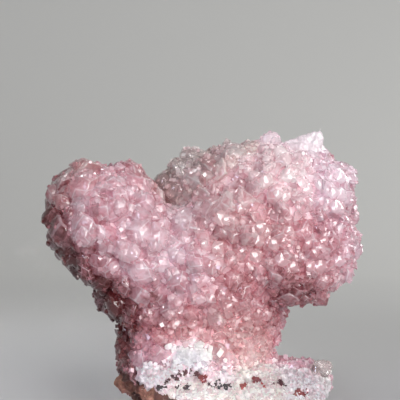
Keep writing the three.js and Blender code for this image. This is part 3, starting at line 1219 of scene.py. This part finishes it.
# %% The calcite finishes, from the clear crystals to the white grains
# the rounded edges of the clear rose and grey crystals get a painted highlight
rose = calcite(
    "clear_rose",
    {"Spread": 0.27, "Rim Fade": 0.27, "Veil": 1.1},
    {"Transmission Weight": 0.60, "Roughness": 0.06, "Coat Weight": 0.3},
    tilt=0.35,
    lets_by=(0.76, 0.69, 0.715),
)
grey = calcite(
    "clear_grey",
    {"Spread": 0.45, "Rim Fade": 0.1, "Veil": 0.2},
    {"Transmission Weight": 0.85, "Roughness": 0.05, "Coat Weight": 0.6},
    tilt=0.25,
    lets_by=(0.84, 0.82, 0.80),
)
sparkle = calcite(
    "sugar",
    {"Spread": 0.42, "Veil": 0.4},
    {"Transmission Weight": 0.45, "Roughness": 0.06, "Coat Weight": 0.7},
    tilt=0.10,
    lets_by=(0.9, 0.8, 0.82),
)
bright = calcite(
    "bright_faces",
    {"Spread": 0.2, "Veil": 0.3},
    {"Transmission Weight": 0.4, "Roughness": 0.07, "Coat Weight": 1},
    tilt=0.12,
    cell=3000,
    lets_by=(0.9, 0.8, 0.82),
)
milky = calcite("milky_rose", {"Spread": 0, "Veil": 1.0}, {"Roughness": 0.3}, tilt=0.1)
snow = calcite(
    "granular_white",
    {"Spread": 0.12, "Veil": 0.15},
    {"Subsurface Weight": 0.8, "Roughness": 0.12, "Coat Weight": 0.3},
    tilt=0.35,
)
print("calcite finishes:", [finish.name for finish in (rose, grey, sparkle, bright, milky, snow)])

# %% The oxide
OXIDE_TONES = [(0, (0.030, 0.024, 0.027)), (0.5, (0.10, 0.014, 0.022)), (1, (0.34, 0.055, 0.045))]
OXIDE_SPREAD = 0.3  # how much a grain's tone shifts it along those

oxide_finish, tree, shader = new_material("iron_oxide")
level = math_node(
    tree, "MULTIPLY_ADD", attribute_node(tree, "tone"), OXIDE_SPREAD, attribute_node(tree, "blush")
)
level = math_node(tree, "SUBTRACT", level, OXIDE_SPREAD / 2)
fill(shader, {"Base Color": ramp_node(tree, level, OXIDE_TONES), "Roughness": 0.35})
print("the oxide has", len(OXIDE_TONES), "tones")

# %% The rock, in patches of brown with a fine grit
BROWNS = [(0.38, (0.05, 0.018, 0.016)), (0.55, (0.13, 0.048, 0.036)), (0.66, (0.30, 0.145, 0.10))]
GRIT_HEIGHT = 0.2 * MM

stone, tree, shader = new_material("iron_stained_rock")
patches = texture_node(tree, "ShaderNodeTexNoise", {"Scale": 260, "Detail": 6})
fill(shader, {"Base Color": ramp_node(tree, patches.outputs["Fac"], BROWNS)})
grit = texture_node(tree, "ShaderNodeTexNoise", {"Scale": 2400, "Detail": 4}).outputs["Fac"]
relief = {"Strength": 0.6, "Distance": GRIT_HEIGHT, "Height": grit}
bump = add_node(tree, "ShaderNodeBump", relief)
dull = math_node(tree, "MULTIPLY_ADD", grit, 0.3, 0.68)
fill(shader, {"Normal": bump.outputs["Normal"], "Roughness": dull})
print("the rock has", len(BROWNS), "browns")

# %% Blush and cast for the pieces that aren't made of crystals
MASS_DEEPER, MASS_COOLER = 0.05, 0.1  # than the crystals that grow on it
LAYER_BLUSH = 0.04
BLADE_TIP_BLUSH, BLADE_FOOT_BLUSH, BLADE_CAST = 0.02, 0.27, 0.25
BLADE_FADE = 4 * MM


def add_zones(piece, blush, cast):
    """Gives each point of a piece its blush and cast."""
    for title, values in (("blush", blush), ("cast", cast)):
        piece.data.attributes.new(title, "FLOAT", "POINT").data.foreach_set("value", values)


mass_points, _ = surface_arrays(mass)
mass_blush = blend(mass_points, BLUSH_AND_PAINTED_LIGHT) + MASS_DEEPER
add_zones(mass, mass_blush, blend(mass_points, CAST) - MASS_COOLER)
add_zones(white, np.full(len(white_points), LAYER_BLUSH), blend(white_points, CAST))
blade_points, _ = surface_arrays(blade)
down = np.clip((high.z - blade_points[:, 2]) / BLADE_FADE, 0, 1)
blade_blush = BLADE_TIP_BLUSH + (BLADE_FOOT_BLUSH - BLADE_TIP_BLUSH) * down
add_zones(blade, blade_blush, np.full(len(blade_points), BLADE_CAST))
print("the mass's blush runs from", mass_blush.min().round(2), "to", mass_blush.max().round(2))

# %% Each piece gets its finish and rides on the root, and the frame solid it stands in for is hidden
PINK = ("pink_calcite", "pink_calcite_cluster")
WHITE = ("white_calcite", "white_calcite_layer")
ROCK = ("host_rock", "host_rock")
FINISHES = [
    (crystals["pink_crystals_large"], rose, PINK),
    (crystals["pink_crystals_small"], rose, PINK),
    (crystals["grey_crystals"], grey, PINK),
    (sugar, sparkle, PINK),
    (mass, milky, PINK),
    (ball, grey, PINK),
    (blade, sparkle, PINK),
    (flashes, bright, PINK),
    (white, snow, WHITE),
    (white_grains, snow, WHITE),
    (drift, snow, WHITE),
    (patch, snow, WHITE),
    (oxide, oxide_finish, WHITE),
    (rock, stone, ROCK),
    (rubble, stone, ROCK),
]
for piece, finish, (slot, node) in FINISHES:
    piece.data.materials.append(finish)
    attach(piece, "root")
    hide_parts(node)
for form in large_forms + small_forms + sugar_forms + [flat_form]:
    bpy.data.objects.remove(form)
print(len(FINISHES), "finished pieces")
